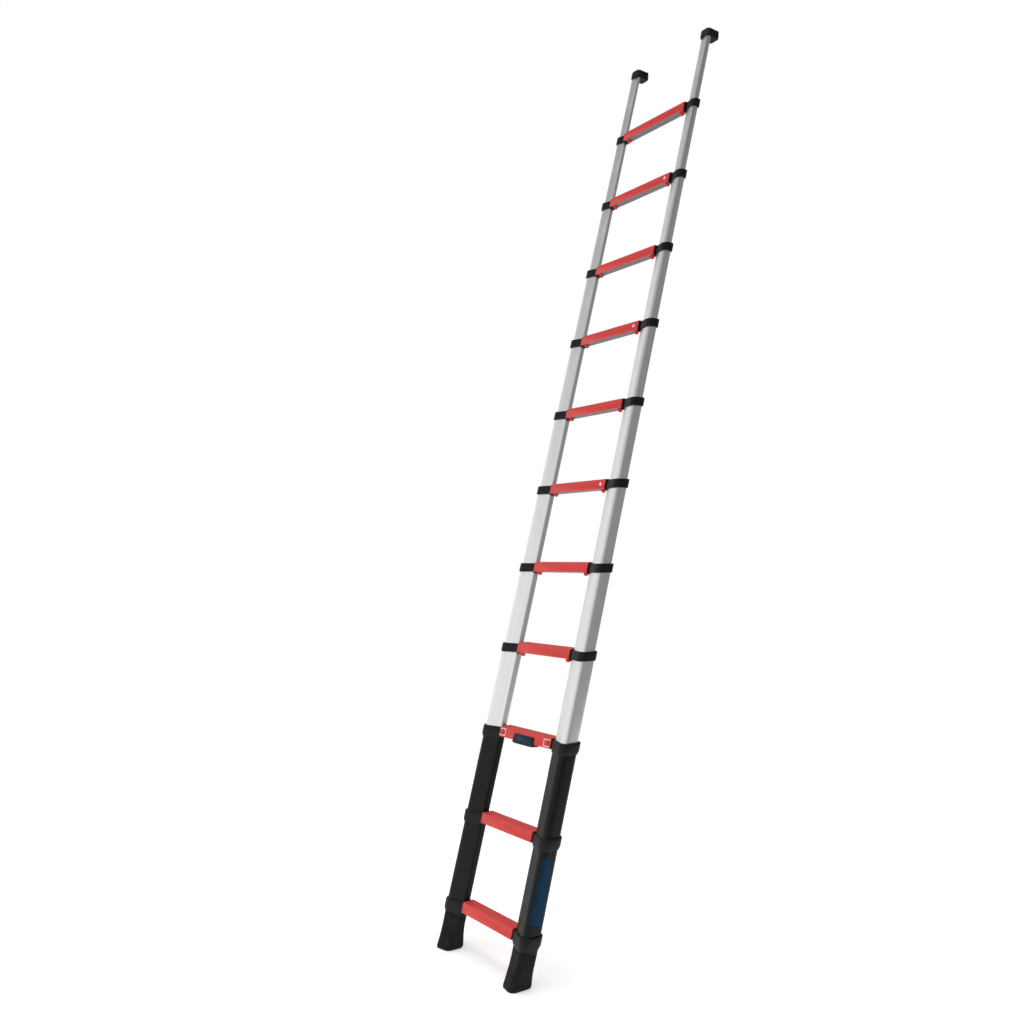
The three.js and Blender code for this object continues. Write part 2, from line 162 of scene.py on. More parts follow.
def rung_outline(grow):
    radius = max(RUNG_RADIUS + grow, RUNG_RADIUS / 2)
    return round_outline(offset_outline(rung_corners(), grow), [radius] * 4, RUNG_CORNER_STEPS)


# ---- Where the ladder stands ----------------------------------------------------------------------

def placing():
    """Matrix from the ladder's own frame in millimetres to the model's frame in metres."""
    tilt = Matrix.Rotation(-LEAN, 4, "X")
    lowest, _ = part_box("rung_1")
    corners = [tilt @ Vector((0, y, z + PITCH)) / 1000 for y, z in rung_outline(0)]
    y = lowest.y - min(corner.y for corner in corners)
    z = lowest.z - min(corner.z for corner in corners)
    return Matrix.Translation((0, y, z)) @ tilt @ Matrix.Scale(0.001, 4)


place = placing()


# ---- Shapes ---------------------------------------------------------------------------------------

class Shape:
    """Points and faces of one piece, in the ladder's frame, in millimetres."""

    def __init__(self):
        self.points = []
        self.faces = []
        self.finishes = []

    def skin(self, rings, ends=True, looped=False, finish=0):
        """A skin through rings of equally many points; each ring is counter-clockwise seen from
        the last one. Looped joins the last ring to the first, as on a pipe with a wall."""
        start, count = len(self.points), len(rings[0])
        for ring in rings:
            self.points.extend(Vector(point) for point in ring)
        pairs = len(rings) if looped else len(rings) - 1
        for pair in range(pairs):
            low = start + pair * count
            high = start + (pair + 1) % len(rings) * count
            for i in range(count):
                j = (i + 1) % count
                self.face((low + i, low + j, high + j, high + i), finish)
        if ends and not looped:
            self.face(tuple(range(start + count - 1, start - 1, -1)), finish)
            last = start + (len(rings) - 1) * count
            self.face(tuple(range(last, last + count)), finish)

    def face(self, corners, finish):
        self.faces.append(corners)
        self.finishes.append(finish)

    def moved(self, matrix):
        self.points = [matrix @ point for point in self.points]
        if matrix.determinant() < 0:
            self.faces = [tuple(reversed(corners)) for corners in self.faces]
        return self


def level(outline, height, tilt=0.0):
    """A ring around Z: an outline at a height, tilted about X."""
    return [Vector((x, y, height + y * math.tan(tilt))) for x, y in outline]


def station(outline, x):
    """A ring around X from an outline in Y and Z."""
    return [Vector((x, y, z)) for y, z in outline]


def sheet_ring(outline, y):
    """A ring in the plane of X and Z; the next ring lies nearer the front."""
    return [Vector((x, y, z)) for x, z in outline]


def side_matrix(side, height):
    """Places a right-hand stile piece drawn around its own centre line."""
    return Matrix.Diagonal((SIDES[side], 1, 1, 1)) @ Matrix.Translation((STILE_X, 0, height))


def mirror_matrix(side, height):
    """Places a right-hand piece that is drawn at its own distance from the ladder's middle."""
    return Matrix.Diagonal((SIDES[side], 1, 1, 1)) @ Matrix.Translation((0, 0, height))


MERGE_WITHIN = 1e-6


def make(name, shape, looks, body, stands_for=(), bevel=0.0, angle=35):
    """Turns a shape into a Blender object that rides on a body."""
    mesh = bpy.data.meshes.new(name)
    mesh.from_pydata([place @ point for point in shape.points], [], shape.faces)
    for look in looks:
        mesh.materials.append(look)
    mesh.polygons.foreach_set("material_index", shape.finishes)
    merged = bmesh.new()
    merged.from_mesh(mesh)
    bmesh.ops.remove_doubles(merged, verts=merged.verts, dist=MERGE_WITHIN)
    merged.to_mesh(mesh)
    merged.free()
    mesh.polygons.foreach_set("use_smooth", [True] * len(mesh.polygons))
    mesh.set_sharp_from_angle(angle=math.radians(angle))
    thing = bpy.data.objects.new(name, mesh)
    bpy.context.scene.collection.objects.link(thing)
    if bevel:
        rounding = thing.modifiers.new("rounding", "BEVEL")
        rounding.width = bevel / 1000
        rounding.segments = 3
        rounding.limit_method = "ANGLE"
        rounding.angle_limit = math.radians(angle)
        rounding.harden_normals = True
    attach(thing, body)
    if stands_for:
        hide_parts(*stands_for)
    return thing


# ---- Materials ------------------------------------------------------------------------------------

class Look:
    """A material under construction: a Principled shader with helpers for its textures."""

    def __init__(self, name, colour, roughness, metallic=0.0):
        self.material = bpy.data.materials.new(name)
        self.material.use_nodes = True
        self.nodes = self.material.node_tree.nodes
        self.links = self.material.node_tree.links
        self.shader = self.nodes["Principled BSDF"]
        self.shader.inputs["Base Color"].default_value = (*colour, 1)
        self.shader.inputs["Roughness"].default_value = roughness
        self.shader.inputs["Metallic"].default_value = metallic
        self.spot = self.nodes.new("ShaderNodeTexCoord").outputs["Object"]

    def stretched(self, scale):
        """Object coordinates turned to run with the stiles, and stretched."""
        mapping = self.nodes.new("ShaderNodeMapping")
        mapping.inputs["Rotation"].default_value = (LEAN, 0, 0)
        self.links.new(self.spot, mapping.inputs["Vector"])
        stretch = self.nodes.new("ShaderNodeVectorMath")
        stretch.operation = "MULTIPLY"
        stretch.inputs[1].default_value = scale
        self.links.new(mapping.outputs["Vector"], stretch.inputs[0])
        return stretch.outputs["Vector"]

    def noise(self, scale, detail=3.0, vector=None, roughness=0.5):
        node = self.nodes.new("ShaderNodeTexNoise")
        node.inputs["Scale"].default_value = scale
        node.inputs["Detail"].default_value = detail
        node.inputs["Roughness"].default_value = roughness
        self.links.new(vector or self.spot, node.inputs["Vector"])
        return node.outputs["Fac"]

    def spread(self, value, low, high):
        """Maps the middle of a noise's range to the numbers from low to high."""
        node = self.nodes.new("ShaderNodeMapRange")
        node.inputs["From Min"].default_value = 0.3
        node.inputs["From Max"].default_value = 0.7
        node.inputs["To Min"].default_value = low
        node.inputs["To Max"].default_value = high
        self.links.new(value, node.inputs["Value"])
        return node.outputs["Result"]

    def blended(self, value, first, second):
        node = self.nodes.new("ShaderNodeMix")
        node.data_type = "RGBA"
        node.inputs["A"].default_value = (*first, 1)
        node.inputs["B"].default_value = (*second, 1)
        self.links.new(self.spread(value, 0, 1), node.inputs["Factor"])
        return node.outputs["Result"]

    def coloured(self, colour):
        self.links.new(colour, self.shader.inputs["Base Color"])
        return self

    def roughened(self, value, low, high):
        self.links.new(self.spread(value, low, high), self.shader.inputs["Roughness"])
        return self

    def bumped(self, *layers):
        """Stacks bumps, each a texture, its strength and its height in millimetres."""
        normal = None
        for value, strength, height in layers:
            bump = self.nodes.new("ShaderNodeBump")
            bump.inputs["Strength"].default_value = strength
            bump.inputs["Distance"].default_value = height / 1000
            self.links.new(value, bump.inputs["Height"])
            if normal:
                self.links.new(normal, bump.inputs["Normal"])
            normal = bump.outputs["Normal"]
        self.links.new(normal, self.shader.inputs["Normal"])
        return self


def shade(colour, factor):
    return tuple(min(1.0, channel * factor) for channel in colour)


def powder_coat(name, colour, roughness, gloss):
    """Satin powder coat: a fine orange peel, cloudy gloss and a thin even film over metal."""
    look = Look(name, colour, roughness)
    clouds = look.noise(9, 4)
    peel = look.noise(900, 2)
    grain = look.noise(3200, 2)
    look.coloured(look.blended(clouds, shade(colour, 0.94), shade(colour, 1.05)))
    look.roughened(look.noise(60, 5), roughness - 0.06, roughness + 0.07)
    look.bumped((peel, 0.2, 0.05), (grain, 0.15, 0.02))
    look.shader.inputs["Coat Weight"].default_value = 0.05
    look.shader.inputs["Coat Roughness"].default_value = 0.3
    look.shader.inputs["Specular IOR Level"].default_value = gloss
    return look.material


def drawn_aluminium(name, colour, roughness, metallic):
    """Anodised tube: long drawing lines, faint bands of tone and fine scuffs."""
    look = Look(name, colour, roughness, metallic)
    lines = look.noise(1, 4, look.stretched((900, 900, 3)))
    bands = look.noise(1, 3, look.stretched((60, 60, 1.5)))
    scuffs = look.noise(240, 6, look.stretched((1, 1, 0.25)), 0.7)
    look.coloured(look.blended(bands, shade(colour, 0.96), shade(colour, 1.03)))
    look.roughened(lines, roughness - 0.03, roughness + 0.04)
    look.bumped((lines, 0.08, 0.03), (scuffs, 0.05, 0.02))
    look.shader.inputs["Anisotropic"].default_value = 0.35
    return look.material


def moulded_plastic(name, colour, roughness, grain=0.5):
    """Moulded plastic with a spark-eroded grain, slightly patchy in gloss."""
    look = Look(name, colour, roughness)
    texture = look.noise(1500, 3, None, 0.6)
    patches = look.noise(25, 4)
    look.coloured(look.blended(patches, shade(colour, 0.85), shade(colour, 1.15)))
    look.roughened(look.noise(140, 4), roughness - 0.06, roughness + 0.08)
    look.bumped((texture, grain, 0.08))
    look.shader.inputs["Specular IOR Level"].default_value = 0.24
    return look.material


def boot_rubber(name, colour):
    """Dull rubber with a fine tooth and a trace of dust."""
    look = Look(name, colour, 0.72)
    dust = look.noise(35, 6, None, 0.65)
    look.coloured(look.blended(dust, shade(colour, 0.85), shade(colour, 1.35)))
    look.roughened(look.noise(90, 5), 0.62, 0.82)
    look.bumped((look.noise(2200, 3), 0.5, 0.06), (look.noise(300, 3), 0.2, 0.1))
    look.shader.inputs["Specular IOR Level"].default_value = 0.22
    return look.material


def printed_film(name, colour):
    """Plain vinyl label: flat colour film with a faint texture and a satin top."""
    look = Look(name, colour, 0.32)
    look.coloured(look.blended(look.noise(40, 3), shade(colour, 0.92), shade(colour, 1.08)))
    look.roughened(look.noise(200, 4), 0.26, 0.4)
    look.bumped((look.noise(700, 2), 0.2, 0.02))
    look.shader.inputs["Specular IOR Level"].default_value = 0.1
    return look.material


RED = powder_coat("red_powder_coat", (0.74, 0.045, 0.038), 0.42, 0.4)
BLACK = powder_coat("black_powder_coat", (0.0055, 0.0055, 0.006), 0.4, 0.17)
ALUMINIUM = drawn_aluminium("drawn_aluminium", (0.82, 0.82, 0.83), 0.36, 0.95)
MILL = drawn_aluminium("mill_aluminium", (0.2, 0.205, 0.21), 0.5, 0.6)
PLASTIC = moulded_plastic("black_plastic", (0.006, 0.006, 0.0065), 0.5)
RED_PLASTIC = moulded_plastic("red_plastic", (0.72, 0.05, 0.045), 0.42, 0.25)
WHITE_PLASTIC = moulded_plastic("white_plastic", (0.85, 0.85, 0.84), 0.4, 0.2)
RUBBER = boot_rubber("boot_rubber", (0.0065, 0.0065, 0.0065))
BLUE_FILM = printed_film("plain_blue_film", (0.002, 0.034, 0.078))


# ---- Stiles ---------------------------------------------------------------------------------------

def pipe(section, bottom, top):
    """A hollow tube with its sharp ends eased."""
    ease = 0.3
    rings = [
        level(tube_outline(section, -ease), bottom),
        level(tube_outline(section, 0), bottom + ease),
        level(tube_outline(section, 0), top - ease),
        level(tube_outline(section, -ease), top),
        level(tube_outline(section, -WALL), top),
        level(tube_outline(section, -WALL), bottom),
    ]
    shape = Shape()
    shape.skin(rings, looped=True)
    return shape


def collar_profile(grow, bottom, fixed):
    """Heights and growths of a collar's outside, from the bottom up."""
    if fixed:
        skirt = [(bottom, grow - 3.4), (bottom + 0.8, grow - 2.8), (bottom + 5.2, grow - 2.2)]
        skirt += [(bottom + 5.8, grow - 1.2), (bottom + 8.6, grow - 0.5), (bottom + 10, grow)]
    else:
        skirt = [(bottom, grow - 2.2), (bottom + 0.7, grow - 1), (bottom + 2, grow - 0.2), (bottom + 3, grow)]
    rim = [(COLLAR_TOP - 6.4, grow), (COLLAR_TOP - 5.9, grow - 0.5), (COLLAR_TOP - 5.2, grow - 0.5)]
    rim += [(COLLAR_TOP - 4.7, grow), (COLLAR_TOP - 2.2, grow), (COLLAR_TOP - 0.7, grow - 0.7)]
    return skirt + rim + [(COLLAR_TOP, grow - 2.2)]


def collar(section, mouth, mouth_grow, seat, fixed):
    """A band round a tube's upper end, which it holds up to the seat. The mouth above the seat is
    the outline of a section, grown a little, and its edge is eased."""
    grow = FIXED_COLLAR_GROW if fixed else COLLAR_GROW
    bottom = FIXED_COLLAR_BOTTOM if fixed else COLLAR_BOTTOM
    outside = [level(tube_outline(section, g), z, LEAN) for z, g in collar_profile(grow, bottom, fixed)]
    ease = 0.6
    inside = [
        level(tube_outline(mouth, mouth_grow + ease), COLLAR_TOP, LEAN),
        level(tube_outline(mouth, mouth_grow), COLLAR_TOP - ease, LEAN),
        level(tube_outline(mouth, mouth_grow), seat),
        level(tube_outline(section, SHADOW_GAP / 2), seat),
        level(tube_outline(section, SHADOW_GAP / 2), bottom, LEAN),
    ]
    shape = Shape()
    shape.skin(outside + inside, looped=True)
    return shape


def narrow_side(section):
    return -tube_size(section)["width"] / 2


TONGUE_REACH = 10
TONGUE_CLEARANCE = 1
GUSSET_FRONT, GUSSET_BACK = RUNG_FRONT + 5, RUNG_FOOT - 3


def add_tongue(shape, section, grow):
    """The plug between the collar and the hollow end of its rung."""
    end = narrow_side(section) - grow
    outline = rung_outline(-RUNG_WALL - SHADOW_GAP)
    shape.skin([station(outline, end - TONGUE_REACH), station(outline, end + grow - TONGUE_CLEARANCE)])


def add_gusset(shape, section, grow):
    """A small foot under the rung's end, between the collar and the release tab."""
    end = narrow_side(section) - grow
    profile = [(end - 7, -0.4), (end - 6, -2.5), (end - 1, -5.5), (end + 4, -6), (end + 4, -0.4)]
    rise = UNDERSIDE_RISE / (RUNG_FOOT - RUNG_FRONT)
    rings = [
        [Vector((x, y, RUNG_BOTTOM + z + (y - RUNG_FRONT) * rise)) for x, z in profile]
        for y in (GUSSET_BACK, GUSSET_FRONT)
    ]
    shape.skin(rings)


MIDDLE_SEAT = 7  # on the two lowest pairs of collars, which the stile runs through


def fixed_stile_pieces(side):
    """The black stile tube and its three collars. The top collar's mouth fits the next tube."""
    tube = pipe(0, FOOT_JOINT + SHADOW_GAP, STILE_TOP)
    make(
        "outer_stile_tube_" + side, tube.moved(side_matrix(side, 0)),
        [BLACK], "base", ["outer_stile_" + side],
    )
    for rung in range(1, FIXED_RUNGS + 1):
        if rung == FIXED_RUNGS:
            mouth, seat = 1, STILE_TOP - rung * PITCH + SHADOW_GAP
        else:
            mouth, seat = 0, MIDDLE_SEAT
        shape = collar(0, mouth, SHADOW_GAP / 2, seat, True)
        add_tongue(shape, 0, FIXED_COLLAR_GROW)
        name = f"{rung}_{side}"
        make(
            "rung_collar_" + name, shape.moved(side_matrix(side, rung * PITCH)),
            [PLASTIC], "base", ["collar_" + name],
        )


def moving_stile_pieces(rung, side):
    """One aluminium tube and the collar on its upper end, which holds a rung."""
    section = rung - FIXED_RUNGS
    body, node = f"section_{rung}", f"tube_{rung}_{side}"
    height = rung * PITCH
    tube = pipe(section, -PITCH - OVERLAP, 0)
    make("stile_" + node, tube.moved(side_matrix(side, height)), [ALUMINIUM], body, [node])
    shape = collar(section, section, -WALL, SHADOW_GAP, False)
    add_tongue(shape, section, COLLAR_GROW)
    add_gusset(shape, section, COLLAR_GROW)
    make(
        f"rung_collar_{rung}_{side}", shape.moved(side_matrix(side, height)),
        [PLASTIC], body, [node],
    )


# ---- Boots and end caps ---------------------------------------------------------------------------

SOLE_SHAPE = {"half": 36, "front": 46, "back": 45, "inner_front": 32, "inner_back": 34, "radius": 22}
BOOT_LEVELS = [
    # height over the sole, share of the sole's outline, growth, share of the lean
    (0, 1, -3.4, 1), (0.8, 1, -1.8, 1), (2.2, 1, -0.7, 1), (4.5, 1, -0.1, 1), (8, 1, 0, 1),
    (14, 0.97, -0.6, 0.98), (26, 0.86, -1.4, 0.82), (38, 0.68, -1.8, 0.6), (50, 0.5, -1.9, 0.4),
    (62, 0.33, -1.7, 0.26), (74, 0.18, -1.3, 0.13), (84, 0.09, -0.9, 0.06), (92, 0.04, -0.6, 0.02),
    (99, 0.01, -0.4, 0.01), (106, 0, -0.1, 0), (107.5, 0, -0.8, 0),
]


def boot_outline(blend, grow):
    size = tube_size(0)
    stile = [(*corner, size["wide_radius"]) for corner in tube_corners(0)[:2]]
    stile += [(*corner, size["narrow_radius"]) for corner in tube_corners(0)[2:]]
    radius = SOLE_SHAPE["radius"]
    sole = [
        (SOLE_SHAPE["half"], -SOLE_SHAPE["front"], radius),
        (SOLE_SHAPE["half"], SOLE_SHAPE["back"], radius),
        (-SOLE_SHAPE["half"], SOLE_SHAPE["inner_back"], radius),
        (-SOLE_SHAPE["half"], -SOLE_SHAPE["inner_front"], radius),
    ]
    mixed = [[a + (b - a) * blend for a, b in zip(*corners)] for corners in zip(stile, sole)]
    corners = offset_outline([(x, y) for x, y, _ in mixed], grow)
    return round_outline(corners, [radius + grow for _, _, radius in mixed])


def evenly(outline, count=96):
    """The same outline with evenly spaced points, so that a skin through many of them is smooth."""
    sides = list(zip(outline, outline[1:] + outline[:1]))
    lengths = [(end - start).length for start, end in sides]
    step = sum(lengths) / count
    points, passed, i = [], 0.0, 0
    for number in range(count):
        while passed + lengths[i] < number * step:
            passed += lengths[i]
            i += 1
        start, end = sides[i]
        points.append(start + (end - start) * ((number * step - passed) / lengths[i]))
    return points


def boot(side):
    """Rubber boot that narrows a little below the stile and spreads to a level sole."""
    shape = Shape()
    shape.skin([
        level(evenly(boot_outline(blend, grow)), SOLE + height, LEAN * share)
        for height, blend, grow, share in BOOT_LEVELS
    ])
    make(
        "boot_" + side, shape.moved(side_matrix(side, 0)),
        [RUBBER], "base", ["foot_" + side], angle=50,
    )


CAP_CORNERS = [(22, -18), (22, 51), (-22, 51), (-22, -18)]
CAP_RADIUS = 14
CAP_CORNER_STEPS = 10
CAP_SOCKET = 8
CAP_WALL = 50
WALL_CLEARANCE = 0.1
CAP_LEVELS = [
    # height over the cap's bottom, growth
    (0, -2.6), (0.7, -1.5), (1.8, -0.7), (3.8, -0.2), (6.5, 0), (11, 0), (11.6, -0.7), (12.8, -0.7),
    (13.4, 0), (17, 0), (17.6, -0.7), (18.8, -0.7), (19.4, 0), (23, 0), (23.6, -0.7), (24.8, -0.7),
    (25.4, 0), (29, -0.2), (32, -1.2), (34.2, -3), (35.8, -5.4), (36.7, -8), (37, -10.5),
]


def cap_ring(height, grow):
    """One level of the cap, with what would pass the upright wall face pressed flat against it."""
    outline = round_outline(offset_outline(CAP_CORNERS, grow), [CAP_RADIUS + grow] * 4, CAP_CORNER_STEPS)
    ring = level(outline, height, LEAN)
    bottom = CAP_TOP - CAP_HEIGHT
    tilt, back = Matrix.Rotation(-LEAN, 4, "X"), Matrix.Rotation(LEAN, 4, "X")
    wall = (tilt @ Vector((0, CAP_WALL, bottom))).y
    pressed = []
    for point in ring:
        tipped = tilt @ point
        tipped.y = min(tipped.y, wall - WALL_CLEARANCE)
        pressed.append(back @ tipped)
    return pressed


def end_cap(side):
    """The top tube and the solid cap over it, ribbed round its side, with an upright wall face."""
    bottom = CAP_TOP - CAP_HEIGHT
    shape = Shape()
    shape.skin([cap_ring(bottom + height, grow) for height, grow in CAP_LEVELS])
    make(
        "wall_cap_" + side, shape.moved(side_matrix(side, 0)),
        [PLASTIC], "top_" + side, ["end_cap_" + side], angle=50,
    )
    tube = pipe(TOP_SECTION, RUNGS * PITCH - OVERLAP, bottom + CAP_SOCKET)
    make(
        "stile_top_" + side, tube.moved(side_matrix(side, 0)),
        [ALUMINIUM], "top_" + side, ["top_tube_" + side],
    )


# ---- Rungs ----------------------------------------------------------------------------------------

def rung_half_length(section):
    grow = COLLAR_GROW if section > 0 else FIXED_COLLAR_GROW
    return STILE_X + narrow_side(section) - grow - SHADOW_GAP


def grooved_outline():
    """The rung's outline with anti-slip grooves along the tread."""
    outline = rung_outline(0)
    front = Vector((RUNG_FRONT, RUNG_TOP))
    tread = Vector((RUNG_BACK - RUNG_FRONT, TREAD_RISE))
    slope = tread.normalized()
    down = Vector((slope.y, -slope.x))
    grooves = []
    for i in range(GROOVES, 0, -1):
        middle = tread.length * i / (GROOVES + 1)
        for offset, depth in ((0.5, 0), (0.42, 0.35), (0.25, 1), (-0.25, 1), (-0.42, 0.35), (-0.5, 0)):
            point = front + slope * (middle + offset * GROOVE_WIDTH)
            grooves.append(point + down * depth * GROOVE_DEPTH)
    tread_start = len(outline) - (RUNG_CORNER_STEPS + 1)
    return outline[:tread_start] + grooves + outline[tread_start:]


OUTSIDE_BANDS = 3  # of faces between the four outer rings of a rung


def rung_shape(section):
    """A hollow rung: red all round but for its bare underside, which is the side that follows
    the first rounded corner of the outline."""
    half = rung_half_length(section)
    outline = grooved_outline()
    ease = 0.3
    inner = resampled_inner(outline)
    shape = Shape()
    shape.skin([
        station(shrunk(outline, ease), -half),
        station(outline, -half + ease),
        station(outline, half - ease),
        station(shrunk(outline, ease), half),
        station(inner, half),
        station(inner, -half),
    ], looped=True)
    for ring in range(OUTSIDE_BANDS):
        shape.finishes[ring * len(outline) + RUNG_CORNER_STEPS] = 1
    return shape


def shrunk(outline, amount):
    """An outline drawn in towards its middle by about the same amount all round."""
    middle = Vector((sum(p[0] for p in outline), sum(p[1] for p in outline))) / len(outline)
    return [p + (middle - p).normalized() * amount for p in outline]


def resampled_inner(outline):
    """The rung's inside wall with as many points as the outline, each across from its partner."""
    inner = offset_outline(rung_corners(), -RUNG_WALL)
    points = []
    for point in outline:
        nearest = min(
            (closest_on(point, inner[i - 1], inner[i]) for i in range(len(inner))),
            key=lambda spot: (spot - point).length,
        )
        points.append(nearest)
    return points


def closest_on(point, start, end):
    along = end - start
    share = max(0.0, min(1.0, (point - start).dot(along) / along.length_squared))
    return start + along * share


def rung(number):
    section = max(0, number - FIXED_RUNGS)
    body = "base" if section == 0 else f"section_{number}"
    shape = rung_shape(section).moved(Matrix.Translation((0, 0, number * PITCH)))
    make(f"step_{number}", shape, [RED, MILL], body, [f"rung_{number}"])


# ---- Release tabs, buttons and guards -------------------------------------------------------------

TAB_INSET = 20
TAB_FRONT, TAB_BACK = 11, 22
TAB_HALF, TAB_TIP_HALF = 9, 4
TAB_DROP = 10.5


def onto_underside(shape):
    """Moves a piece drawn on the plane z = 0 behind y = 0 to the rung's sloping underside."""
    slope = math.atan2(UNDERSIDE_RISE, RUNG_FOOT - RUNG_FRONT)
    return shape.moved(Matrix.Translation((0, RUNG_FRONT, RUNG_BOTTOM)) @ Matrix.Rotation(slope, 4, "X"))


def release_tab(number, side):
    """A wedge with a rounded tip that hangs under one end of a rung."""
    centre = rung_half_length(number - FIXED_RUNGS) - TAB_INSET
    top = -SHADOW_GAP
    corners = [
        (centre - TAB_TIP_HALF, top - TAB_DROP), (centre + TAB_TIP_HALF, top - TAB_DROP),
        (centre + TAB_HALF, top), (centre - TAB_HALF, top),
    ]
    outline = round_outline(corners, [3, 3, 0.8, 0.8], 5)
    middle = Vector((centre, top - TAB_DROP / 2))
    small = [middle + (point - middle) * 0.9 for point in outline]
    shape = Shape()
    shape.skin([
        sheet_ring(small, TAB_BACK), sheet_ring(outline, TAB_BACK - 1),
        sheet_ring(outline, TAB_FRONT + 1), sheet_ring(small, TAB_FRONT),
    ])
    onto_underside(shape).moved(mirror_matrix(side, number * PITCH))
    name = f"{number}_{side}"
    make(
        "finger_tab_" + name, shape, [RED_PLASTIC], "tab_" + name,
        ["release_tab_" + name], angle=40,
    )


BUTTON_INSET = 17
BUTTON = {"x": 17, "z": 15, "proud": 3}
GUARD = {"x": 34, "z": 25, "band": 3, "proud": 1.6, "inset": 1}
RIDGE = {"apart": 4, "half": 0.8, "short": 2.5, "radius": 0.7}


def rounded_pad(shape, centre, half_x, half_z, radius, levels):
    """A pad in the plane of X and Z; levels give its depth along Y and how far it is drawn in."""
    cx, cz = centre
    corners = [
        (cx - half_x, cz - half_z), (cx + half_x, cz - half_z),
        (cx + half_x, cz + half_z), (cx - half_x, cz + half_z),
    ]
    shape.skin([
        sheet_ring(round_outline(offset_outline(corners, -drawn), [max(radius - drawn, 0.4)] * 4, 6), y)
        for y, drawn in levels
    ])


def thumb_button(side):
    """The button that releases the lowest section, with ridges for the thumb."""
    centre = rung_half_length(0) - BUTTON_INSET
    face = RUNG_FRONT - SHADOW_GAP
    front = face - BUTTON["proud"]
    shape = Shape()
    rounded_pad(
        shape, (centre, 0), BUTTON["x"] / 2, BUTTON["z"] / 2, 3,
        [(face, 0), (front + 1.2, 0), (front + 0.5, 0.4), (front + 0.2, 1.2)],
    )
    for step in (-1, 0, 1):
        rounded_pad(
            shape, (centre + step * RIDGE["apart"], 0), RIDGE["half"], BUTTON["z"] / 2 - RIDGE["short"],
            RIDGE["radius"], [(front + 0.8, 0), (front + 0.2, 0), (front, 0.3)],
        )
    shape.moved(mirror_matrix(side, HANDLE_Z))
    make(
        "thumb_button_" + side, shape, [RED_PLASTIC], "button_" + side,
        ["release_button_" + side], angle=40,
    )


def button_guard(side):
    """White three-sided rail round a thumb button, open towards the collar."""
    outer = rung_half_length(0) - GUARD["inset"]
    inner = outer - GUARD["x"]
    top, band = GUARD["z"] / 2, GUARD["band"]
    outline = [Vector(corner) for corner in (
        (outer, -top), (outer, -top + band), (inner + band, -top + band), (inner + band, top - band),
        (outer, top - band), (outer, top), (inner, top), (inner, -top),
    )]
    shape = Shape()
    back, front = RUNG_FRONT - 0.02, RUNG_FRONT - GUARD["proud"]
    shape.skin([sheet_ring(outline, back), sheet_ring(outline, front)])
    shape.moved(mirror_matrix(side, HANDLE_Z))
    make("button_guard_" + side, shape, [WHITE_PLASTIC], "base", bevel=0.5)


# ---- Carrying handle, panels and markers ------------------------------------------------------------

HANDLE = {
    "plate_half": 57, "plate_top": 5.5, "plate_bottom": RUNG_BOTTOM - 2, "plate": 4, "plate_radius": 5,
    "grip_half": 63, "depth": 31,
}
GRIP_LEVELS = [(-SHADOW_GAP, 0), (-3, 0), (-5.5, 2), (-7.6, 5.5), (-8.8, 9.5), (-9.2, 13)]
HANDLE_PANEL = {"x": 9, "z": -7.5, "half_x": 41, "half_z": 8, "radius": 3}


def carrying_handle():
    """A rounded cover on the rung's front that runs into a boat-shaped grip under it."""
    shape = Shape()
    bottom = HANDLE["plate_bottom"]
    height = (HANDLE["plate_top"] - bottom) / 2
    face = RUNG_FRONT - SHADOW_GAP
    rounded_pad(
        shape, (0, bottom + height), HANDLE["plate_half"], height, HANDLE["plate_radius"],
        [(face, 0), (face - 2.6, 0), (face - 3.2, 0.5), (face - 3.6, 1.3)],
    )
    grip = Shape()
    front, back = -HANDLE["plate"] + 0.1, HANDLE["depth"] - HANDLE["plate"]
    rings = []
    for z, drawn in GRIP_LEVELS:
        half = HANDLE["grip_half"] - drawn
        near, far = front + drawn * 0.12, back - drawn * 0.4
        corners = [(-half, near), (half, near), (half - 4, far), (-half + 4, far)]
        rings.append(level(round_outline(corners, [5, 5, 7, 7], 6), z))
    grip.skin(rings[::-1])
    onto_underside(grip)
    start = len(shape.points)
    shape.points += grip.points
    shape.faces += [tuple(start + i for i in corners) for corners in grip.faces]
    shape.finishes += grip.finishes
    shape.moved(Matrix.Translation((0, 0, HANDLE_Z)))
    make("handle_moulding", shape, [PLASTIC], "base", ["carry_handle"], angle=40)

    panel = Shape()
    rounded_pad(
        panel, (HANDLE_PANEL["x"], HANDLE_PANEL["z"]), HANDLE_PANEL["half_x"], HANDLE_PANEL["half_z"],
        HANDLE_PANEL["radius"], [(face - 3.55, 0), (face - 3.8, 0), (face - 3.95, 0.3)],
    )
    panel.moved(Matrix.Translation((0, 0, HANDLE_Z)))
    make("handle_panel", panel, [BLUE_FILM], "base")


SIDE_PANEL = {"bottom": 352, "top": 555, "front": -27.5, "back": 23.5, "lift": 0.05, "thickness": 0.35}


def side_panel():
    """Plain blue film on the right stile's outer side, wrapped round its rounded corners."""
    film = []
    for lift in (SIDE_PANEL["lift"], SIDE_PANEL["thickness"]):
        outer = [p for p in tube_outline(0, lift) if p.x > 0]
        film.append([p for p in outer if SIDE_PANEL["front"] <= p.y <= SIDE_PANEL["back"]])
    ring = film[1] + film[0][::-1]
    shape = Shape()
    shape.skin([level(ring, SIDE_PANEL["bottom"]), level(ring, SIDE_PANEL["top"])])
    shape.moved(side_matrix("right", 0))
    make("side_panel", shape, [BLUE_FILM], "base")


MARKED_RUNGS = (6, 8, 10)
MARKER_RADIUS = 5.5
MARKER_INSET = 22
MARKER_SIDES = 32
MARKER_LEVELS = [
    # depth from the rung's front, share of the radius
    (0.1, 1), (-0.9, 1), (-1.3, 0.93), (-1.55, 0.78), (-1.7, 0.5),
]


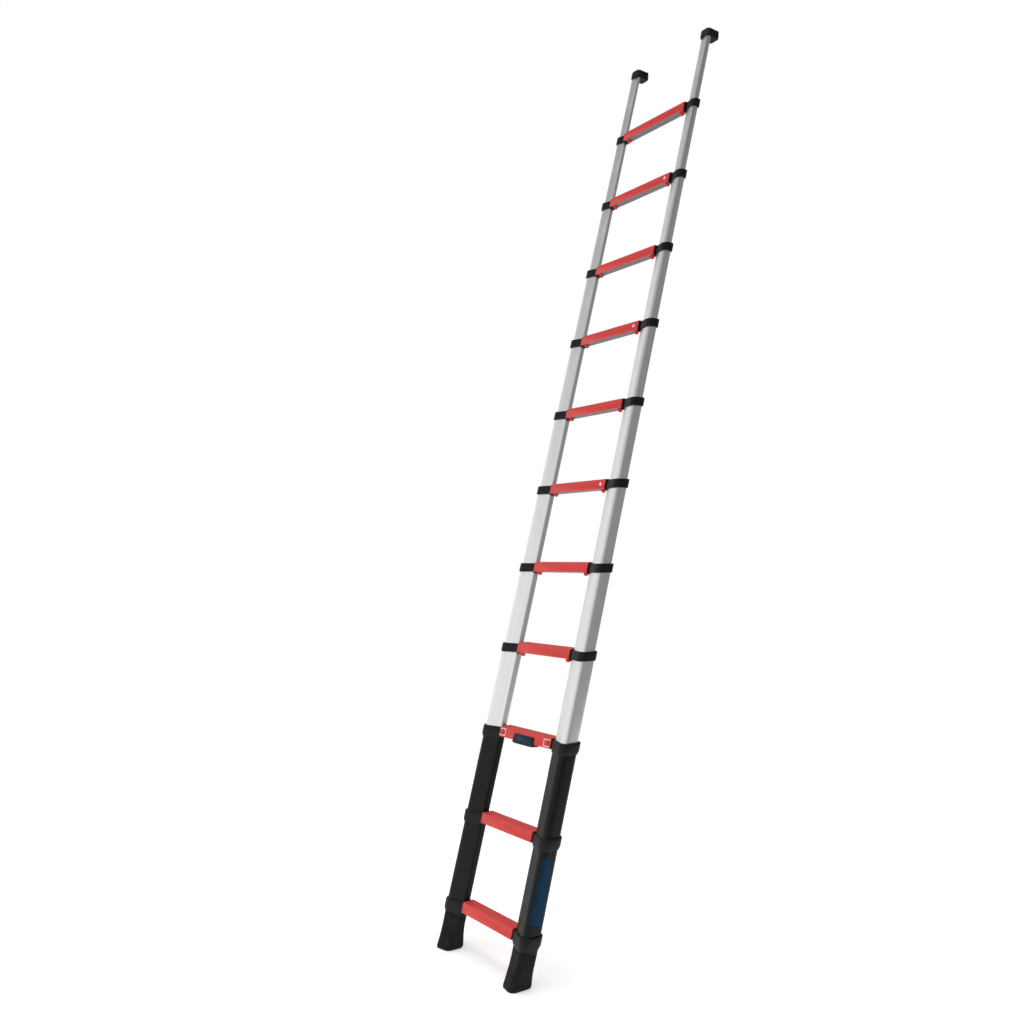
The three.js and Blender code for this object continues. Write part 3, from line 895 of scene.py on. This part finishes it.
def marker(number):
    """A round white plug in the front of a rung."""
    centre = rung_half_length(number - FIXED_RUNGS) - MARKER_INSET
    turns = [math.tau * i / MARKER_SIDES for i in range(MARKER_SIDES)]
    rings = []
    for depth, share in MARKER_LEVELS:
        radius = MARKER_RADIUS * share
        circle = [(centre + radius * math.cos(turn), radius * math.sin(turn)) for turn in turns]
        rings.append(sheet_ring(circle, RUNG_FRONT + depth))
    shape = Shape()
    shape.skin(rings)
    shape.moved(Matrix.Translation((0, 0, number * PITCH)))
    make(f"marker_{number}", shape, [WHITE_PLASTIC], f"section_{number}")


# ---- The ladder -----------------------------------------------------------------------------------

for side in SIDES:
    fixed_stile_pieces(side)
    boot(side)
    end_cap(side)
    thumb_button(side)
    button_guard(side)
    for number in range(FIXED_RUNGS + 1, RUNGS + 1):
        moving_stile_pieces(number, side)
        release_tab(number, side)
for number in range(1, RUNGS + 1):
    rung(number)
for number in MARKED_RUNGS:
    marker(number)
carrying_handle()
side_panel()


# ---- Room, light and camera -----------------------------------------------------------------------

FLOOR_RADIUS = 2.6
FLOOR_SIDES = 96
FLOOR_GLOW = 0.42


def pale_floor():
    """A round pale floor with a faint mottling, as bright as the white room round it."""
    look = Look("pale_floor", (0.9, 0.9, 0.9), 0.9)
    look.coloured(look.blended(look.noise(3, 4), (0.89, 0.89, 0.89), (0.91, 0.91, 0.91)))
    look.shader.inputs["Emission Color"].default_value = (1, 1, 1, 1)
    look.shader.inputs["Emission Strength"].default_value = FLOOR_GLOW
    mesh = bpy.data.meshes.new("floor")
    turns = [math.tau * i / FLOOR_SIDES for i in range(FLOOR_SIDES)]
    rim = [(FLOOR_RADIUS * math.cos(turn), FLOOR_RADIUS * math.sin(turn), 0) for turn in turns]
    mesh.from_pydata(rim, [], [tuple(range(FLOOR_SIDES))])
    mesh.materials.append(look.material)
    floor = bpy.data.objects.new("floor", mesh)
    bpy.context.scene.collection.objects.link(floor)


def soft_sun(name, direction, strength, spread):
    """A very wide sun, as from a large overhead softbox, shining along a direction."""
    lamp = bpy.data.lights.new(name, "SUN")
    lamp.energy = strength
    lamp.angle = math.radians(spread)
    holder = bpy.data.objects.new(name, lamp)
    bpy.context.scene.collection.objects.link(holder)
    holder.rotation_mode = "QUATERNION"
    holder.rotation_quaternion = Vector(direction).to_track_quat("-Z", "Y")


# Dark screens round the white set: a direction, where the dimming starts and ends as the cosine
# from that direction, and how bright it is there.
SCREENS = [
    ((0.83, 0.55, 0.1), -0.3, 0.6, 0.26),
    ((0, 0, 1), 0.38, 0.72, 0.32),
    ((-0.75, 0.66, 0.05), 0.75, 0.97, 0.35),
]


def white_room():
    """A white surround, dimmed by the screens for the light and reflections but not for the view."""
    world = bpy.data.worlds.new("white_room")
    world.use_nodes = True
    nodes, links = world.node_tree.nodes, world.node_tree.links
    background = nodes["Background"]
    background.inputs["Color"].default_value = (1, 1, 1, 1)
    direction = nodes.new("ShaderNodeTexCoord").outputs["Generated"]
    brightness = None
    for towards, start, end, least in SCREENS:
        facing = nodes.new("ShaderNodeVectorMath")
        facing.operation = "DOT_PRODUCT"
        facing.inputs[1].default_value = Vector(towards).normalized()
        links.new(direction, facing.inputs[0])
        dimming = nodes.new("ShaderNodeMapRange")
        dimming.interpolation_type = "SMOOTHSTEP"
        dimming.inputs["From Min"].default_value = start
        dimming.inputs["From Max"].default_value = end
        dimming.inputs["To Min"].default_value = 1.0
        dimming.inputs["To Max"].default_value = least
        links.new(facing.outputs["Value"], dimming.inputs["Value"])
        if brightness is None:
            brightness = dimming.outputs["Result"]
            continue
        both = nodes.new("ShaderNodeMath")
        both.operation = "MULTIPLY"
        links.new(brightness, both.inputs[0])
        links.new(dimming.outputs["Result"], both.inputs[1])
        brightness = both.outputs["Value"]
    seen = nodes.new("ShaderNodeMath")
    seen.operation = "MAXIMUM"
    links.new(nodes.new("ShaderNodeLightPath").outputs["Is Camera Ray"], seen.inputs[0])
    links.new(brightness, seen.inputs[1])
    links.new(seen.outputs["Value"], background.inputs["Strength"])
    bpy.context.scene.world = world
    bpy.context.scene.view_settings.view_transform = "Standard"


CAMERA_SPOT = (2655.0, -2065.6, 977.0)
CAMERA_RIGHT = (0.58262, 0.78461, 0.21201)
CAMERA_AHEAD = (-0.81177, 0.54900, 0.19907)
LENS, SENSOR = 33.61, 36


def add_camera():
    """The camera at the photograph's angle, with its spot and directions in the ladder's frame."""
    data = bpy.data.cameras.new("camera")
    data.lens = LENS
    data.sensor_width = SENSOR
    camera = bpy.data.objects.new("camera", data)
    bpy.context.scene.collection.objects.link(camera)
    tilt = Matrix.Rotation(-LEAN, 3, "X")
    right = (tilt @ Vector(CAMERA_RIGHT)).normalized()
    back = -(tilt @ Vector(CAMERA_AHEAD)).normalized()
    turn = Matrix((right, back.cross(right), back)).transposed()
    camera.matrix_world = Matrix.Translation(place @ Vector(CAMERA_SPOT)) @ turn.to_4x4()
    bpy.context.scene.camera = camera


pale_floor()
white_room()
soft_sun("overhead", direction=(0.1, -0.15, -1), strength=1.7, spread=45)
add_camera()
